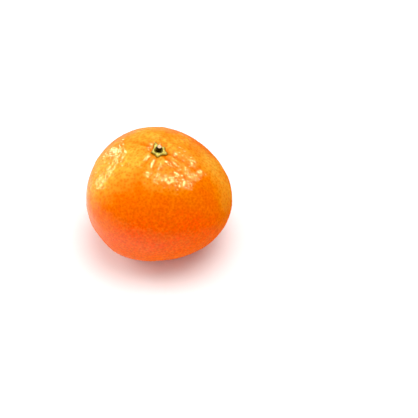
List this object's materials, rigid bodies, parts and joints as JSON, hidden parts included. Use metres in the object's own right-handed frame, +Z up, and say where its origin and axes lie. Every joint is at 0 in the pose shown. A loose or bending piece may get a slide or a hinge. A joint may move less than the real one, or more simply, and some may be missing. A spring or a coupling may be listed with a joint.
{
  "type": "mandarin",
  "caption": "Whole ripe mandarin: flattened round fruit with pitted orange rind, puckered stem end, star-shaped calyx and clipped stem stub.",
  "frame": {"origin": "in the plane of the flat spot at the stylar end that the fruit rests on, under the middle of its bounding box", "axes": "+Z up from the stylar end to the stem end, -Y towards the side seen in a front view, +X to the right in that view"},
  "size_m": [0.0644, 0.0642, 0.0529],
  "materials": {
    "peel": "waxy orange citrus rind, pitted by oil glands, satin gloss",
    "calyx": "dry yellow-green sepals, matte",
    "stem": "dark green-brown bark with a pale cut face, matte"
  },
  "bodies": {
    "root": {"fruit": "peel", "calyx": "calyx", "stem_stub": "stem"}
  },
  "joints": []
}
